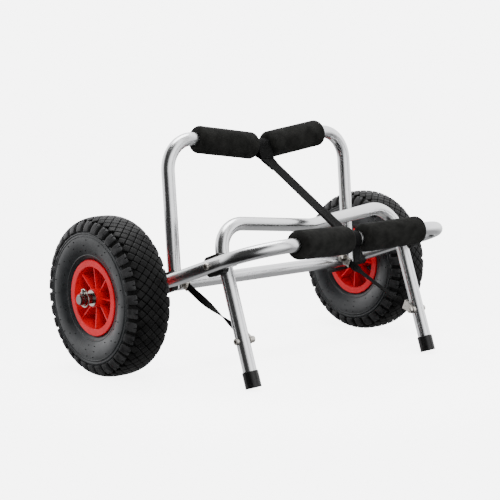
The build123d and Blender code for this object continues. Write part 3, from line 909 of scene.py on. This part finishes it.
def loop_stations(centre, towards, face, width, steps=40):
    """Stations round a bar: off the band at one side, round the back and on at the other."""
    wrap = TUBE_RADIUS + LOOP_GAP + STRAP_THICK / 2
    stations = []
    for step in range(steps + 1):
        turn = LOOP_OPENING + (2 * pi - 2 * LOOP_OPENING) * step / steps
        out = towards * cos(turn) + face * sin(turn)
        stations.append((centre + out * wrap, X_AXIS, out, width))
    first, last = stations[0], stations[-1]
    lead_in = [(centre + towards * JOIN_AT + face * HALF_PLY, X_AXIS, face, width)]
    lead_out = [(centre + towards * JOIN_AT - face * HALF_PLY, X_AXIS, -face, width)]
    for share in (0.35, 0.7):
        lead_in.append((lead_in[0][0].lerp(first[0], share), X_AXIS,
                        face.lerp(first[2], share).normalized(), width))
        lead_out.insert(0, (lead_out[-1][0].lerp(last[0], share), X_AXIS,
                            (-face).lerp(last[2], share).normalized(), width))
    return lead_in + stations + lead_out


def straight_stations(start, end, face, first_width, last_width, steps):
    """Stations of a flat stretch whose width changes smoothly."""
    stations = []
    for step in range(steps + 1):
        share = step / steps
        ease = share * share * (3 - 2 * share)
        width = first_width + (last_width - first_width) * ease
        stations.append((start.lerp(end, share), X_AXIS, face, width))
    return stations


def squared(direction, line):
    """The direction, turned square to a line."""
    return (direction - line * direction.dot(line)).normalized()


def make_main_strap(materials):
    """Webbing sewn into a loop round each cradle bar, doubled where it is sewn."""
    loop, middle, narrow = (STRAP_WIDTHS[part] for part in ("rear_loop", "run", "front_loop"))
    rear = REAR_PIVOT + UPRIGHT * REAR_VERTEX
    front = AXLE + ARM * FRONT_VERTEX + X_AXIS * FRONT_LOOP_X
    face = (front - rear).normalized().cross(X_AXIS)
    rear_aim = rear - face * REAR_DROP
    line = (front - rear_aim).normalized()
    face = squared(face, line)
    rear_line = (rear_aim + line * JOIN_AT - rear).normalized()
    rear_join = rear + rear_line * JOIN_AT
    front_join = front - line * JOIN_AT
    rear_end = rear_join + line * REAR_OVERLAP
    front_end = front - line * FRONT_OVERLAP
    ply = face * PLY_STEP
    skin = face * STRAP_THICK / 2

    work = bmesh.new()
    uv_layer = work.loops.layers.uv.new("layout")
    run = (straight_stations(rear_join, rear_join + line * WIDTH_CHANGE, face, loop, middle, 6)
           + straight_stations(rear_join + line * (WIDTH_CHANGE + 2 * MM), front_join, face,
                               middle, middle, 20))
    for stations in (
            loop_stations(rear, rear_line, squared(face, rear_line), loop),
            loop_stations(front, -line, face, narrow),
            run,
            straight_stations(rear_join - ply, rear_end - ply, face, loop, middle, 8),
            straight_stations(front_end + ply, front_join + ply, face, narrow, narrow, 10)):
        add_band(work, stations, uv_layer)
    add_box_stitch(work, (front_end + front_join) / 2 + ply + skin, line, face,
                   (front_join - front_end).length - 2 * STITCH_END, narrow - 2 * STITCH_EDGE)
    add_box_stitch(work, (rear_join + rear_end) / 2 - ply - skin, line, -face,
                   REAR_OVERLAP - 2 * STITCH_END, middle - 2 * STITCH_EDGE)
    for offset in (-1, 1):
        edge = X_AXIS * offset * (middle / 2 - SEAM_EDGE) + skin
        add_stitch_line(work, rear_join + line * SEAM_START + edge, rear_end + edge, face)
    strap = finish_mesh("main_webbing", work, materials, WEBBING_CREASE)
    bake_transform(strap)
    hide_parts("main_strap")
    make_strap_tail(front, materials)


TAIL_LENGTH = 25 * MM
TAIL_LEAN = radians(25)
TAIL_STEPS = 12
TAIL_WRAP = TUBE_RADIUS + LOOP_GAP + STRAP_THICK * 1.7
# The tail lies on the front loop between these angles, from the rear of the bar
TAIL_START, TAIL_LEAVES = radians(-60), radians(-135)


def make_strap_tail(front, materials):
    """The loose end of the webbing, which comes off the front loop and hangs down."""
    width = STRAP_WIDTHS["tail"]
    work = bmesh.new()
    uv_layer = work.loops.layers.uv.new("layout")
    stations = []
    for step in range(TAIL_STEPS + 1):
        turn = TAIL_START + (TAIL_LEAVES - TAIL_START) * step / TAIL_STEPS
        out = Vector((0, cos(turn), sin(turn)))
        stations.append((front + out * TAIL_WRAP, X_AXIS, out, width))
    begin, normal = stations[-1][0], stations[-1][2]
    for step in range(1, TAIL_STEPS + 1):
        share = step / TAIL_STEPS
        drop = Vector((0, -0.25 * (1 - share), -1)).normalized() * TAIL_LENGTH * share
        lean = TAIL_LEAN * share
        across = Vector((cos(lean), sin(lean), 0))
        facing = squared(normal.lerp(Vector((0, -1, 0)), min(1, share * 2)).normalized(), across)
        stations.append((begin + drop, across, facing, width))
    add_band(work, stations, uv_layer)
    end, across, facing, width = stations[-2]
    seam = across * (width / 2 - 2 * MM)
    skin = facing * STRAP_THICK / 2
    add_stitch_line(work, end - seam + skin, end + seam + skin, facing)
    tail = finish_mesh("webbing_tail", work, materials, WEBBING_CREASE)
    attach(tail, "front_frame")


LOWER_WIDTH = 14 * MM
TWIST_NARROWING = 3 * MM
LOWER_THICK = 1.4 * MM
LOWER_INSET = 10.5 * MM
LOWER_SAG = 1.5 * MM
LOWER_STEPS = 72
# The share of a lower strap at each end that its clip holds flat
HELD_SHARE = 0.07


TURN_SHARE = 0.22


def half_turn(share):
    """How far a band has turned that goes over once on its way."""
    return pi * share * share * (3 - 2 * share)


def laid_flat(share):
    """How far a band has turned that lies flat but for a quarter turn near each end."""
    lead = min(1, share / TURN_SHARE, (1 - share) / TURN_SHARE)
    return pi / 2 * lead * lead * (3 - 2 * lead)


LOWER_TWIST = {"left": half_turn, "right": laid_flat}


def make_lower_strap(side, materials):
    """A narrow band from the clip at the rear pivot to the clip on the stand's leg."""
    low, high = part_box(f"lower_strap_{side}")
    middle_x = (low.x + high.x) / 2
    start = Vector((middle_x, REAR_PIVOT.y, REAR_PIVOT.z))
    bolt = STAND_PIVOT + LEG * STRAP_BOLT_BELOW
    end = Vector((middle_x, bolt.y, bolt.z))
    line = (end - start).normalized()
    start += line * LOWER_INSET
    end -= line * LOWER_INSET
    flat = line.cross(X_AXIS).normalized()
    work = bmesh.new()
    uv_layer = work.loops.layers.uv.new("layout")
    stations = []
    for step in range(LOWER_STEPS + 1):
        share = step / LOWER_STEPS
        free = (share - HELD_SHARE) / (1 - 2 * HELD_SHARE)
        turn = LOWER_TWIST[side](min(1, max(0, free)))
        sag = Vector((0, 0, -LOWER_SAG)) * sin(pi * share)
        across = flat * cos(turn) + X_AXIS * sin(turn)
        width = LOWER_WIDTH - TWIST_NARROWING * sin(pi * share) ** 2
        stations.append((start.lerp(end, share) + sag, across, across.cross(line), width))
    add_band(work, stations, uv_layer, LOWER_THICK)
    strap = finish_mesh(f"{side}_lower_webbing", work, materials, WEBBING_CREASE)
    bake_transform(strap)
    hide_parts(f"lower_strap_{side}")


# ---------------------------------------------------------------- finishes on the CAD pieces
def paint_cad_pieces():
    """Every CAD node takes the material of its slot in the record."""
    finishes = {
        "frame_tube": aluminium(),
        "black_plastic": black_plastic(),
        "foot_rubber": foot_rubber(),
        "tube_rubber": hidden_rubber(),
        "red_plastic": red_plastic(),
        "bush_plastic": plug_plastic(),
        "axle_steel": axle_metal(),
        "zinc": zinc(),
    }
    for part in frame["record"]["subparts"]:
        finish = finishes.get(part["material_slot"])
        if finish:
            mesh = frame["nodes"][part["node"]].data
            mesh.materials.clear()
            mesh.materials.append(finish)


make_camera()
for light in LIGHTS:
    area_light(*light)
make_world()
make_floor()
paint_cad_pieces()
tyre_materials = [tread_rubber(), sidewall_rubber(), groove_rubber_painted_shade(), lug_rubber()]
for side in SIDES:
    make_tyre(side, tyre_materials)
make_foams(foam())
strap_materials = [webbing(), thread()]
make_main_strap(strap_materials)
for side in SIDES:
    make_lower_strap(side, strap_materials)
